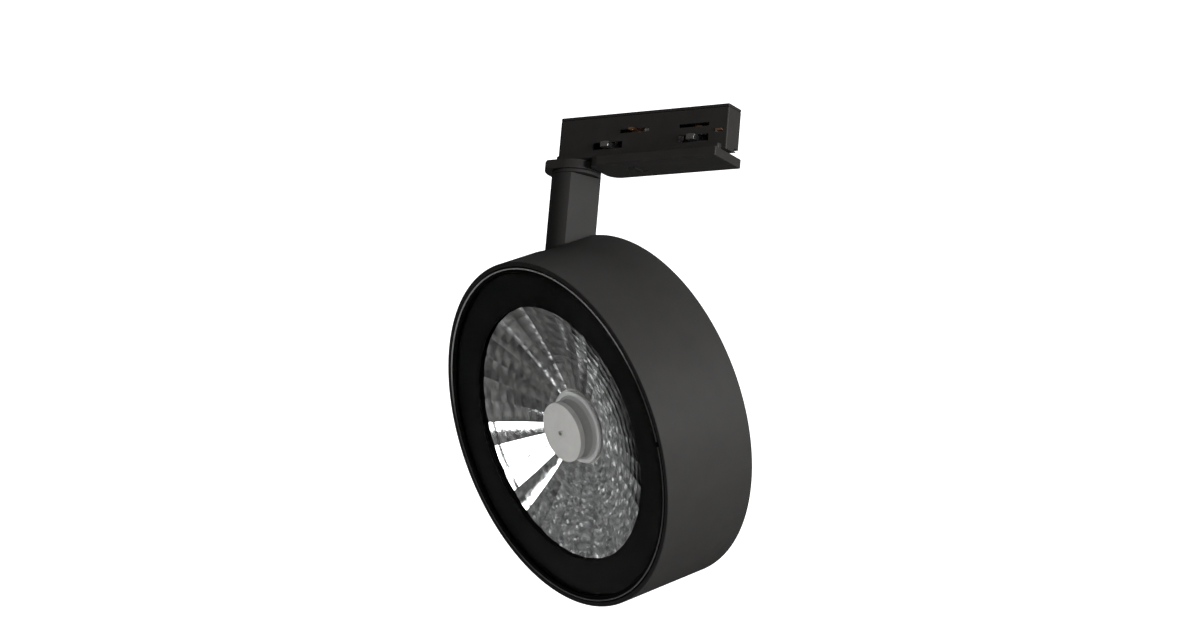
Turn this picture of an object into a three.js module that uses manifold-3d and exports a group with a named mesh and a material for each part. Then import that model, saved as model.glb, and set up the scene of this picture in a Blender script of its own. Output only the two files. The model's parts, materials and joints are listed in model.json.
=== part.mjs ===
// Track spotlight: a flat round LED head on a short flattened stem, hung from a
// multi-circuit track adapter. Millimetres, +Z up, +X along the track.
// The origin lies on the pan axis, at the height of the track's underside.
import * as THREE from 'three';
import { mergeVertices } from 'three/addons/utils/BufferGeometryUtils.js';
import Module from 'manifold-3d';

const wasm = await Module();
wasm.setup();

// ---------- driving dimensions ----------
const GAP = 0.3;                 // running and resting clearance between pieces
const ROUND_STEPS = 40;          // facets on the large round pieces
const SMALL_STEPS = 20;          // facets on the small round pieces
const PIN_STEPS = 12;            // facets on screws, pins and holes

// pose in which the lamp is drawn
const PAN = -25.3;               // degrees about the vertical axis
const TILT = 63.3;               // degrees of the beam away from straight down

// head
const HEAD_R = 93.5;
const HEAD_DEPTH = 56;
const WALL = 2.5;
const APERTURE_R = 68.7;
const BEZEL_IN_R = 87.7;
const GLASS_FRONT = 1.3;         // depths below count back from the front rim
const GLASS_BACK = 2.8;
const GLASS_R = 88.6;
const MASK_DEPTH = 3.1;
const MASK_T = 0.6;
const BEZEL_BACK = 8;
const CARRIER_FRONT = 8.3;
const PIVOT_RADIUS = 75;         // tilt axle, measured out from the drum's axis
const PIVOT_DEPTH = 37.7;        // tilt axle, measured back from the front rim
const BACK_T = 2.8;              // back cover thickness
const SLOT_HALF = 9.9;           // half width of the slot the stem swings in
const SLOT_DEPTH = 24;           // where the slot starts in the wall
const SLOT_INNER = 60.5;         // how far in the slot reaches on the back cover
const BACK_SCREW_R = 82;

// optic
const REFLECTOR_FRONT = 5.8;
const REFLECTOR_BACK = 17.4;
const REFLECTOR_NECK_R = 20.5;
const REFLECTOR_FACETS = 32;
const REFLECTOR_RINGS = 5;
const REFLECTOR_T = 1;
const REFLECTOR_FLANGE = 3.3;
const CAP_R = 16;
const CAP_FRONT = 4.9;           // top of the cap's dome
const CAP_RIM = 6.8;
const COLLAR_OPTIC_R = 19.6;
const COLLAR_FRONT = 15.5;
const HOLDER_FRONT = 18.9;       // plate that holds the clear lens on the emitter
const EMITTER_FRONT = 19.2;
const BOARD_FRONT = 20.2;
const SINK_FRONT = 22;
const SINK_BACK = 46;

// stem
const STEM_R = 13;
const STEM_FLAT = 9.3;           // half width across the two flats
const STEM_TOP = -10.15;
const PIVOT_Z = -65;
const AXLE_R = 4;
const NIPPLE_R = 4;
const NIPPLE_BORE = 2.8;

// track adapter
const COVER_HALF = 13.4;
const COVER_TOP = -2.8;
const COVER_BOTTOM = -7.75;
const COVER_START = 14.2;
const COVER_END = 92;
const HOUSING_R = 17;            // round left end of the pivot housing
const BODY_HALF = 6.5;
const BODY_START = -9;
const BODY_END = 94;
const BODY_TOP = 20;
const BODY_WALL = 1.2;
const BODY_FLOOR = -2.5;
const FOOT_HALF = 9.5;           // flange that seats on the track's underside
const FRONT_LOCK_X = 22;
const SELECTOR_X = 38;
const REAR_LOCK_X = 74;
const SHAFT_R = 2;
const WING_REACH = 10.4;
const CRANK = 3.2;               // crank pin's offset from a lock shaft
const SCREW_X = [30, 88];

// ---------- materials ----------
function finish(color, roughness, metalness) {
  return new THREE.MeshStandardMaterial({ color, roughness, metalness });
}
const blackPaint = finish(0x2b2927, 0.55, 0.3);
const blackPlastic = finish(0x1f1e1d, 0.6, 0);
const maskBlack = finish(0x0c0c0c, 0.4, 0);
const reflectorMetal = finish(0xc8c8c8, 0.12, 1);
const clearPlastic = finish(0xeef2f2, 0.05, 0);
clearPlastic.transparent = true;
clearPlastic.opacity = 0.4;
const frosted = finish(0xd9d9d6, 0.6, 0);
const steel = finish(0x9a9a98, 0.35, 1);
const copper = finish(0xb87842, 0.35, 1);
const rubber = finish(0x151515, 0.9, 0);
const castAluminium = finish(0x8d8f91, 0.5, 0.8);
const boardGreen = finish(0x1d4a33, 0.6, 0);
const phosphor = finish(0xe8c94a, 0.7, 0);
const whitePlastic = finish(0xdedcd4, 0.5, 0);
const cableSkin = finish(0x2a2a2a, 0.7, 0);

// ---------- solids ----------
function solidOf(geometry) {
  const bare = geometry.clone();
  bare.deleteAttribute('normal');
  bare.deleteAttribute('uv');
  const merged = mergeVertices(bare, 1e-4);
  const points = merged.attributes.position.array;
  const corners = [];
  let volume = 0;
  for (let i = 0; i < merged.index.count; i += 3) {
    const [a, b, c] = [0, 1, 2].map((k) => merged.index.getX(i + k));
    if (a === b || b === c || c === a) continue;
    corners.push(a, b, c);
    const [p, q, r] = [a, b, c].map((k) => new THREE.Vector3().fromArray(points, 3 * k));
    volume += p.dot(q.cross(r));
  }
  if (volume < 0) corners.reverse();
  const mesh = new wasm.Mesh({
    numProp: 3,
    vertProperties: new Float32Array(points),
    triVerts: new Uint32Array(corners),
  });
  return new wasm.Manifold(mesh);
}

function geometryOf(solid) {
  const mesh = solid.getMesh();
  const geometry = new THREE.BufferGeometry();
  geometry.setAttribute('position', new THREE.BufferAttribute(mesh.vertProperties, 3));
  geometry.setIndex(new THREE.BufferAttribute(mesh.triVerts, 1));
  geometry.computeVertexNormals();
  return geometry;
}

function cut(base, ...tools) {
  return tools.reduce((left, tool) => left.subtract(tool), base);
}

function join(base, ...others) {
  return others.reduce((whole, other) => whole.add(other), base);
}

function box(x0, x1, y0, y1, z0, z1) {
  const geometry = new THREE.BoxGeometry(x1 - x0, y1 - y0, z1 - z0);
  geometry.translate((x0 + x1) / 2, (y0 + y1) / 2, (z0 + z1) / 2);
  return solidOf(geometry);
}

// a solid of revolution about +Z from [radius, z] points
function turned(profile, steps, x = 0, y = 0) {
  const first = profile[0];
  const onAxis = first[0] === 0 && profile.at(-1)[0] === 0;
  const outline = onAxis ? profile : [...profile, first];
  const geometry = new THREE.LatheGeometry(outline.map(([r, z]) => new THREE.Vector2(r, z)), steps);
  geometry.rotateX(Math.PI / 2);
  geometry.translate(x, y, 0);
  return solidOf(geometry);
}

function rod(radius, z0, z1, x = 0, y = 0, steps = PIN_STEPS) {
  return turned([[0, z0], [radius, z0], [radius, z1], [0, z1]], steps, x, y);
}

function ring(inner, outer, z0, z1, steps = ROUND_STEPS, x = 0, y = 0) {
  return turned([[inner, z0], [outer, z0], [outer, z1], [inner, z1]], steps, x, y);
}

// a rod lying along X through the point (0, y, z)
function crossRod(radius, x0, x1, y, z, steps = SMALL_STEPS) {
  const geometry = new THREE.CylinderGeometry(radius, radius, x1 - x0, steps);
  geometry.rotateZ(Math.PI / 2);
  geometry.translate((x0 + x1) / 2, y, z);
  return solidOf(geometry);
}

function plate(shape, z0, z1, curveSegments = 4) {
  const geometry = new THREE.ExtrudeGeometry(shape, { depth: z1 - z0, bevelEnabled: false, curveSegments });
  geometry.translate(0, 0, z0);
  return solidOf(geometry);
}

function roundedRect(x0, x1, y0, y1, leftR, rightR) {
  const shape = new THREE.Shape();
  shape.moveTo(x0 + leftR, y0);
  shape.lineTo(x1 - rightR, y0);
  shape.absarc(x1 - rightR, y0 + rightR, rightR, -Math.PI / 2, 0, false);
  shape.lineTo(x1, y1 - rightR);
  shape.absarc(x1 - rightR, y1 - rightR, rightR, 0, Math.PI / 2, false);
  shape.lineTo(x0 + leftR, y1);
  shape.absarc(x0 + leftR, y1 - leftR, leftR, Math.PI / 2, Math.PI, false);
  shape.lineTo(x0, y0 + leftR);
  shape.absarc(x0 + leftR, y0 + leftR, leftR, Math.PI, 1.5 * Math.PI, false);
  return shape;
}

// a bar with round ends between two points
function barShape(x0, y0, x1, y1, halfWidth) {
  const along = Math.atan2(y1 - y0, x1 - x0);
  const shape = new THREE.Shape();
  shape.absarc(x1, y1, halfWidth, along - Math.PI / 2, along + Math.PI / 2, false);
  shape.absarc(x0, y0, halfWidth, along + Math.PI / 2, along + 1.5 * Math.PI, false);
  return shape;
}

// a wedge of a ring, between two angles in degrees
function sectorShape(x, y, inner, outer, from, to) {
  const start = THREE.MathUtils.degToRad(from);
  const end = THREE.MathUtils.degToRad(to);
  const shape = new THREE.Shape();
  shape.absarc(x, y, outer, start, end, false);
  if (inner > 0) shape.absarc(x, y, inner, end, start, true);
  else shape.lineTo(x, y);
  return shape;
}

function lead(points, radius) {
  const route = new THREE.CatmullRomCurve3(points.map((p) => new THREE.Vector3(...p)));
  const section = new THREE.Shape().absarc(0, 0, radius, 0, 2 * Math.PI, false);
  const options = { extrudePath: route, steps: 14, curveSegments: 4, bevelEnabled: false };
  return solidOf(new THREE.ExtrudeGeometry(section, options));
}

function screw(headR, headZ0, headZ1, shankR, tipZ, x, y) {
  const slotHalf = 0.35;
  const turnedScrew = turned([
    [0, tipZ], [shankR, tipZ], [shankR, headZ0], [headR, headZ0], [headR, headZ1], [0, headZ1],
  ], PIN_STEPS, x, y);
  const top = Math.max(headZ1, headZ0);
  return cut(turnedScrew, box(x - headR, x + headR, y - slotHalf, y + slotHalf, top - 0.5, top + 1));
}

function place(parent, name, solid, material) {
  const mesh = new THREE.Mesh(geometryOf(solid), material);
  mesh.name = name;
  parent.add(mesh);
  return mesh;
}

// ---------- track adapter ----------
const LEVER_FROM = 5;            // degrees the lever's clearance pocket spans
const LEVER_TO = 155;
const LEVER_REACH = 17.5;
const LEVER_AT = 125;            // direction of the lever when locked

function adapterBody() {
  const tub = plate(roundedRect(BODY_START, BODY_END, -BODY_HALF, BODY_HALF, 2, 0.8), BODY_FLOOR, BODY_TOP);
  const foot = plate(roundedRect(BODY_START, BODY_END - 3, -FOOT_HALF, FOOT_HALF, 4, 1), BODY_FLOOR, 0);
  const hollow = box(BODY_START + BODY_WALL, BODY_END - BODY_WALL, -BODY_HALF + BODY_WALL,
    BODY_HALF - BODY_WALL, BODY_FLOOR + BODY_WALL, BODY_TOP + 1);
  const leverPocket = plate(sectorShape(REAR_LOCK_X, 0, 0, LEVER_REACH + 6, LEVER_FROM, LEVER_TO), -3, -0.15);
  return cut(join(tub, foot), hollow, leverPocket,
    rod(NIPPLE_R + GAP, -4, 0),
    rod(5.3, -3, -0.15, REAR_LOCK_X, 0, SMALL_STEPS),
    rod(SHAFT_R + GAP, -4, 0, FRONT_LOCK_X),
    rod(SHAFT_R + GAP, -4, 0, SELECTOR_X),
    ...SCREW_X.map((x) => rod(1.5, -4, 0, x)),
    rod(WING_REACH + 0.6, 2.6, 6.4, FRONT_LOCK_X, 0, SMALL_STEPS),
    rod(WING_REACH + 0.6, 2.6, 6.4, REAR_LOCK_X, 0, SMALL_STEPS),
    rod(WING_REACH + 0.6, 10.6, 12.6, SELECTOR_X, 0, SMALL_STEPS),
    rod(WING_REACH + 0.6, 10.6, 12.6, REAR_LOCK_X, 0, SMALL_STEPS),
    box(86.7, 91.3, -BODY_HALF - 1, BODY_HALF + 1, 7.2, 9));
}

function adapterTopCover() {
  const lid = plate(roundedRect(BODY_START, BODY_END, -BODY_HALF, BODY_HALF, 2, 0.8), BODY_TOP + GAP, 21.8);
  const rim = box(-7, 92, -4.9, 4.9, 19.4, BODY_TOP + 0.6);
  return join(lid, rim);
}

function pivotHousing() {
  const reach = Math.sqrt(HOUSING_R ** 2 - COVER_HALF ** 2);
  const outline = new THREE.Shape();
  const roundEnd = Math.atan2(COVER_HALF, reach);
  outline.absarc(0, 0, HOUSING_R, Math.PI - roundEnd, Math.PI + roundEnd, false);
  outline.lineTo(-0.5, -COVER_HALF);
  outline.absarc(-0.5, 0, COVER_HALF, -Math.PI / 2, Math.PI / 2, false);
  const block = plate(outline, COVER_BOTTOM, COVER_TOP, 10);
  const stopAt = PAN + 270;
  const stopHalf = 2.5;
  const groove = sectorShape(0, 0, 9.2, 11.4, stopAt - 360 + stopHalf, stopAt - stopHalf);
  const stopGroove = plate(groove, COVER_BOTTOM - 1, COVER_BOTTOM + 2, 24);
  return cut(block, rod(NIPPLE_R + GAP, -9, 0, 0, 0, SMALL_STEPS), stopGroove);
}

function lowerCover() {
  const wall = 1.8;
  const outline = roundedRect(COVER_START, COVER_END, -COVER_HALF, COVER_HALF, 7, 0.8);
  const innerHalf = COVER_HALF - wall;
  const inside = roundedRect(COVER_START + wall, COVER_END - wall, -innerHalf, innerHalf, 5.2, 0.5);
  const shell = plate(outline, COVER_BOTTOM, COVER_TOP);
  const pocket = plate(inside, COVER_BOTTOM + 1.6, COVER_TOP + 1);
  const bosses = SCREW_X.map((x) => rod(2.4, COVER_BOTTOM + 1.2, COVER_TOP, x));
  const shaftBoss = rod(4, COVER_BOTTOM + 1.2, COVER_TOP, REAR_LOCK_X);
  return cut(join(cut(shell, pocket), ...bosses, shaftBoss),
    ...SCREW_X.map((x) => rod(1.5, COVER_BOTTOM + 0.9, 0, x)),
    rod(SHAFT_R + GAP, COVER_BOTTOM + 1.5, 0, REAR_LOCK_X),
    rod(5.3, -9, 0, SELECTOR_X, 0, SMALL_STEPS));
}

function lockShaft(x, bottom) {
  const wings = box(x - 2.4, x + 2.4, -WING_REACH, WING_REACH, 3, 6);
  const wingEnds = rod(WING_REACH, 2.9, 6.1, x, 0, SMALL_STEPS);
  const crank = plate(barShape(x, 0, x + CRANK, 0, 1.6), 15.2, 16.6);
  return join(rod(SHAFT_R, bottom, 16.6, x), wings.intersect(wingEnds), crank, rod(1, 16, 19, x + CRANK));
}

function lockLever() {
  const angle = THREE.MathUtils.degToRad(LEVER_AT);
  const tipX = REAR_LOCK_X + LEVER_REACH * Math.cos(angle);
  const tipY = LEVER_REACH * Math.sin(angle);
  const arm = plate(barShape(REAR_LOCK_X, 0, tipX, tipY, 2.4), -2.2, -0.6);
  const thumbPad = rod(3.1, -2.2, -0.6, tipX, tipY);
  const hub = rod(4.6, -2.2, -0.6, REAR_LOCK_X, 0, SMALL_STEPS);
  return cut(join(arm, thumbPad, hub), rod(SHAFT_R + GAP, -4, 2, REAR_LOCK_X));
}

function lockLink() {
  const x0 = FRONT_LOCK_X + CRANK;
  const x1 = REAR_LOCK_X + CRANK;
  const bar = plate(barShape(x0, 0, x1, 0, 1.9), 17, 18.6);
  return cut(bar, rod(1.3, 16, 20, x0), rod(1.3, 16, 20, x1));
}

// a contact finger around a shaft, pointing along +Y or -Y
function contactFinger(x, side) {
  const blade = box(x - 1.5, x + 1.5, side > 0 ? 0 : -WING_REACH, side > 0 ? WING_REACH : 0, 11, 12.2);
  const hub = rod(4, 10.9, 12.3, x, 0, SMALL_STEPS);
  const tip = rod(1.2, 10.9, 12.3, x, side * (WING_REACH - 1.3));
  return cut(join(blade, hub, tip), rod(SHAFT_R + GAP, 8, 14, x));
}

function selectorDial() {
  const disc = rod(5, COVER_BOTTOM + 0.15, -3.1, SELECTOR_X, 0, SMALL_STEPS);
  const grip = box(SELECTOR_X - 0.6, SELECTOR_X + 0.6, -4, 4, COVER_BOTTOM - 0.35, COVER_BOTTOM + 1);
  return cut(join(disc, grip), rod(SHAFT_R + GAP, -5.2, 0, SELECTOR_X));
}

function contactCarrier() {
  const block = box(43.2, 51.7, -4.9, 4.9, -0.9, 14);
  return cut(block, box(45, 50, -3, 3, 9, 15), box(42, 46, -1, 1, 2, 6));
}

function adapterTerminals() {
  const block = box(52.1, 61.2, -4.9, 4.9, -0.9, 13);
  return cut(block, rod(1.1, 8, 14, 54.4), rod(1.1, 8, 14, 58.8), box(51, 62, -2, 2, 1, 4));
}

function buildAdapter() {
  const adapter = new THREE.Group();
  place(adapter, 'adapter_body', adapterBody(), blackPlastic);
  place(adapter, 'adapter_top_cover', adapterTopCover(), blackPlastic);
  place(adapter, 'pivot_housing', pivotHousing(), blackPlastic);
  place(adapter, 'lower_cover', lowerCover(), blackPlastic);
  place(adapter, 'pan_spring_washer', ring(4.3, 5, -1, -0.5, SMALL_STEPS), steel);
  place(adapter, 'contact_carrier', contactCarrier(), whitePlastic);
  place(adapter, 'adapter_terminal_block', adapterTerminals(), whitePlastic);
  place(adapter, 'earth_contact', box(87, 91, -7.2, 7.2, 7.5, 8.7), copper);
  SCREW_X.forEach((x, i) => {
    place(adapter, `cover_screw_${i + 1}`, screw(2.4, -1, 0.4, 1.2, -6.4, x, 0), steel);
  });
  place(adapter, 'front_lock_shaft', lockShaft(FRONT_LOCK_X, -2.4), steel);
  place(adapter, 'rear_lock_shaft', lockShaft(REAR_LOCK_X, -5.9), steel);
  place(adapter, 'lock_lever', lockLever(), blackPlastic);
  place(adapter, 'neutral_contact', contactFinger(REAR_LOCK_X, 1), copper);
  place(adapter, 'lock_link', lockLink(), steel);
  place(adapter, 'selector_dial', selectorDial(), blackPlastic);
  place(adapter, 'selector_shaft', rod(SHAFT_R, -4.9, 16.2, SELECTOR_X), whitePlastic);
  place(adapter, 'phase_contact', contactFinger(SELECTOR_X, -1), copper);
  return adapter;
}

// ---------- stem ----------
function stemTube() {
  const bottom = PIVOT_Z - STEM_R;
  const round = rod(STEM_R, bottom, STEM_TOP, 0, 0, ROUND_STEPS);
  const flats = box(-STEM_FLAT, STEM_FLAT, -20, 20, bottom - 1, 0);
  const end = join(crossRod(STEM_R, -20, 20, 0, PIVOT_Z, ROUND_STEPS), box(-20, 20, -20, 20, PIVOT_Z, 0));
  return cut(round.intersect(flats).intersect(end),
    rod(NIPPLE_R + GAP, PIVOT_Z + AXLE_R + 8, 0, 0, 0, SMALL_STEPS),
    crossRod(AXLE_R + GAP, -20, 20, 0, PIVOT_Z));
}

function buildStem() {
  const stem = new THREE.Group();
  stem.rotation.z = THREE.MathUtils.degToRad(PAN);
  const collarBottom = STEM_TOP + GAP;
  const collarTop = COVER_BOTTOM - GAP;
  place(stem, 'stem_collar', ring(NIPPLE_R + GAP, STEM_R, collarBottom, collarTop), blackPaint);
  place(stem, 'stem_tube', stemTube(), blackPaint);
  place(stem, 'stem_nipple', ring(NIPPLE_BORE, NIPPLE_R, -24, 4, SMALL_STEPS), steel);
  place(stem, 'pan_nut', ring(NIPPLE_R + GAP, 5, -0.2, 3, SMALL_STEPS), steel);
  place(stem, 'pan_stop_pin', rod(0.8, collarTop + GAP, COVER_BOTTOM + 1.7, 0, 10.3), steel);
  place(stem, 'stem_cable', rod(2.3, PIVOT_Z + AXLE_R + 9, 8, 0, 0), cableSkin);
  return stem;
}

// ---------- head ----------
// The drum is built about its own axis: z counts back from the front rim,
// and the tilt pivot lies towards -Y.
function stemSlot() {
  return box(-SLOT_HALF, SLOT_HALF, -120, -SLOT_INNER, SLOT_DEPTH, 80);
}

function housingShell() {
  const inner = HEAD_R - WALL;
  const shell = turned([
    [inner, 0.4], [inner + 0.4, 0], [HEAD_R - 1.5, 0], [HEAD_R - 0.4, 0.5], [HEAD_R, 1.6],
    [HEAD_R, HEAD_DEPTH - 1.6], [HEAD_R - 0.4, HEAD_DEPTH - 0.5], [HEAD_R - 1.5, HEAD_DEPTH],
    [inner, HEAD_DEPTH],
  ], ROUND_STEPS);
  return cut(shell, stemSlot());
}

function backScrewSpots() {
  return [35, 145, 235, 305].map((degrees) => {
    const angle = THREE.MathUtils.degToRad(degrees);
    return [BACK_SCREW_R * Math.cos(angle), BACK_SCREW_R * Math.sin(angle)];
  });
}

// the ring inside the drum that the back cover screws to
function coverSeat() {
  const top = HEAD_DEPTH - BACK_T - GAP;
  const seat = ring(78, HEAD_R - WALL - GAP, top - 2.2, top);
  const bracketGap = box(-13.5, 13.5, -120, -60, 40, 60);
  const holes = backScrewSpots().map(([x, y]) => rod(1.8, 50, 60, x, y));
  return cut(seat, bracketGap, ...holes);
}

function backCover() {
  const disc = rod(HEAD_R - WALL - GAP, HEAD_DEPTH - BACK_T, HEAD_DEPTH, 0, 0, ROUND_STEPS);
  const holes = backScrewSpots().map(([x, y]) => join(
    rod(1.8, 50, 60, x, y),
    rod(3.6, HEAD_DEPTH - 1.6, 60, x, y),
  ));
  return cut(disc, stemSlot(), ...holes);
}

// the ring whose front lip holds the glass
function frontBezel() {
  const outer = HEAD_R - WALL - 0.5;
  const seat = GLASS_R + GAP;
  return turned([
    [BEZEL_IN_R, 0.6], [BEZEL_IN_R + 0.4, 0.2], [outer - 0.4, 0.2], [outer, 0.6], [outer, BEZEL_BACK],
    [seat, BEZEL_BACK], [seat, GLASS_FRONT - 0.2], [BEZEL_IN_R, GLASS_FRONT - 0.2],
  ], ROUND_STEPS);
}

function pivotBracket() {
  const inner = 10.6;
  const outer = 13.1;
  const floor = PIVOT_DEPTH - STEM_R - 0.7;
  const block = box(-outer, outer, -83.5, -61, floor - 2.5, 52.5);
  const trough = box(-inner, inner, -100, -50, floor, 60);
  return cut(block, trough, crossRod(AXLE_R + GAP, -20, 20, -PIVOT_RADIUS, PIVOT_DEPTH));
}

function tiltAxle() {
  const shank = crossRod(AXLE_R, -13.6, 17.6, -PIVOT_RADIUS, PIVOT_DEPTH);
  const head = crossRod(7, -17, -13.4, -PIVOT_RADIUS, PIVOT_DEPTH);
  return join(shank, head);
}

function crossWasher(outer, x0, x1, steps) {
  return cut(crossRod(outer, x0, x1, -PIVOT_RADIUS, PIVOT_DEPTH, steps),
    crossRod(AXLE_R + GAP, x0 - 1, x1 + 1, -PIVOT_RADIUS, PIVOT_DEPTH));
}

function reflector() {
  const inside = [];
  const outside = [];
  for (let i = 0; i <= REFLECTOR_RINGS; i += 1) {
    const share = (i / REFLECTOR_RINGS) ** 1.25;
    const radius = APERTURE_R + (REFLECTOR_NECK_R - APERTURE_R) * share;
    const fall = (APERTURE_R ** 2 - radius ** 2) / (APERTURE_R ** 2 - REFLECTOR_NECK_R ** 2);
    const z = REFLECTOR_FRONT + fall * (REFLECTOR_BACK - REFLECTOR_FRONT);
    inside.push([radius, z]);
    if (i > 0) outside.unshift([radius, z + REFLECTOR_T]);
  }
  const flangeR = APERTURE_R + REFLECTOR_FLANGE;
  const flangeBack = REFLECTOR_FRONT + REFLECTOR_T;
  const flange = [[APERTURE_R, flangeBack], [flangeR, flangeBack], [flangeR, REFLECTOR_FRONT]];
  return turned([...inside, ...outside, ...flange], REFLECTOR_FACETS);
}

// the clear lens: a short tube with a wide flange, between the cap and the emitter
function clearOptic() {
  const flangeBack = COLLAR_FRONT + 1.5;
  const inner = CAP_R - 1.5;
  return turned([
    [CAP_R, CAP_RIM + 2.5], [CAP_R, COLLAR_FRONT],
    [COLLAR_OPTIC_R, COLLAR_FRONT], [COLLAR_OPTIC_R, flangeBack], [CAP_R, flangeBack],
    [CAP_R, HOLDER_FRONT - GAP], [inner, HOLDER_FRONT - GAP], [inner, CAP_RIM + 2.5],
  ], SMALL_STEPS);
}

function diffuserCap() {
  const skirtBack = CAP_RIM + 2.2;
  const skirtR = CAP_R - 1.4;
  return turned([
    [0, CAP_FRONT], [CAP_R * 0.45, CAP_FRONT + 0.35], [CAP_R * 0.8, CAP_FRONT + 1.1], [CAP_R, CAP_RIM],
    [CAP_R, skirtBack], [skirtR, skirtBack], [skirtR, CAP_RIM + 1.4], [0, CAP_RIM + 0.6],
  ], SMALL_STEPS);
}

function opticHolder() {
  const plateBack = HOLDER_FRONT + 0.8;
  const disc = ring(12, 30, HOLDER_FRONT, plateBack, SMALL_STEPS);
  const lip = ring(28.5, 30, HOLDER_FRONT - 1, plateBack, SMALL_STEPS);
  return join(disc, lip);
}

function heatSink() {
  const finCount = 16;
  const finStart = 9;
  const finEnd = 43;
  const plateBack = SINK_FRONT + 2.6;
  const fins = Array.from({ length: finCount }, (_, i) => {
    const geometry = new THREE.BoxGeometry(finEnd - finStart, 1.6, SINK_BACK - plateBack + 1);
    geometry.translate((finStart + finEnd) / 2, 0, (SINK_BACK + plateBack - 1) / 2);
    geometry.rotateZ(((i + 0.5) / finCount) * 2 * Math.PI);
    return solidOf(geometry);
  });
  const plateDisc = rod(44, SINK_FRONT, plateBack, 0, 0, SMALL_STEPS);
  return join(plateDisc, rod(12, plateBack - 1, SINK_BACK, 0, 0, SMALL_STEPS), ...fins);
}

function driverCase() {
  return cut(box(-38, 38, 62, 80, 15, 49.5), box(-36.5, 36.5, 63.5, 78.5, 16.5, 55));
}

// from the driver to the LED board, and from the terminals to the driver
const LED_ROUTE = [[0, 61.2, 28], [2, 54, 23.5], [4, 47, 20.9], [5, 25.5, 20.9]];
const INPUT_ROUTE = [
  [9.5, -51, 41], [34, -47, 40], [58, -30, 36], [68, 0, 33], [62, 34, 33],
  [56, 52, 35], [46, 66, 37], [38.6, 66.5, 38],
];

function buildDrum() {
  const drum = new THREE.Group();
  drum.position.set(0, PIVOT_RADIUS, -PIVOT_DEPTH);
  place(drum, 'housing_shell', housingShell(), blackPaint);
  place(drum, 'back_cover', backCover(), blackPaint);
  backScrewSpots().forEach(([x, y], i) => {
    place(drum, `back_screw_${i + 1}`, screw(3.2, 54.7, 55.8, 1.5, 51, x, y), steel);
  });
  place(drum, 'cover_seat', coverSeat(), castAluminium);
  place(drum, 'front_bezel', frontBezel(), maskBlack);
  const glass = rod(GLASS_R, GLASS_FRONT, GLASS_BACK, 0, 0, ROUND_STEPS);
  place(drum, 'front_glass', glass, clearPlastic);
  place(drum, 'mask_ring', ring(APERTURE_R, GLASS_R, MASK_DEPTH, MASK_DEPTH + MASK_T), maskBlack);
  place(drum, 'glass_gasket', ring(85, GLASS_R, MASK_DEPTH + MASK_T + 0.2, BEZEL_BACK), rubber);
  place(drum, 'reflector', reflector(), reflectorMetal);
  const carrier = ring(69.6, HEAD_R - WALL - 0.5, CARRIER_FRONT, CARRIER_FRONT + 1.3);
  place(drum, 'reflector_carrier', carrier, castAluminium);
  place(drum, 'clear_optic', clearOptic(), clearPlastic);
  place(drum, 'diffuser_cap', diffuserCap(), frosted);
  place(drum, 'optic_holder', opticHolder(), whitePlastic);
  place(drum, 'led_emitter', rod(9, EMITTER_FRONT, BOARD_FRONT - GAP, 0, 0, SMALL_STEPS), phosphor);
  place(drum, 'led_board', rod(24, BOARD_FRONT, SINK_FRONT - GAP, 0, 0, SMALL_STEPS), whitePlastic);
  place(drum, 'heat_sink', heatSink(), castAluminium);
  place(drum, 'driver_case', driverCase(), blackPlastic);
  place(drum, 'driver_board', box(-34, 34, 64.5, 66, 18, 47), boardGreen);
  place(drum, 'driver_transformer', box(-12, 6, 66.4, 76, 24, 40), blackPlastic);
  place(drum, 'lamp_terminal_block', box(-9, 9, -56, -47, 36, 46), whitePlastic);
  place(drum, 'led_lead', lead(LED_ROUTE, 0.9), cableSkin);
  place(drum, 'input_lead', lead(INPUT_ROUTE, 1.6), cableSkin);
  place(drum, 'pivot_bracket', pivotBracket(), steel);
  place(drum, 'tilt_axle', tiltAxle(), steel);
  place(drum, 'tilt_nut', crossWasher(6.5, 13.4, 16.6, 6), steel);
  place(drum, 'tilt_washer_1', crossWasher(8, -10.3, -9.6, SMALL_STEPS), copper);
  place(drum, 'tilt_washer_2', crossWasher(8, 9.6, 10.3, SMALL_STEPS), copper);
  return drum;
}

function buildHead() {
  const head = new THREE.Group();
  head.position.set(0, 0, PIVOT_Z);
  head.rotation.x = -THREE.MathUtils.degToRad(TILT);
  head.add(buildDrum());
  return head;
}

// ---------- assembly ----------
const group = new THREE.Group();
const stem = buildStem();
stem.add(buildHead());
group.add(buildAdapter(), stem);

export default group;
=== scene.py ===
import json
import math

import bmesh
import bpy
from mathutils import Matrix, Vector


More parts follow.
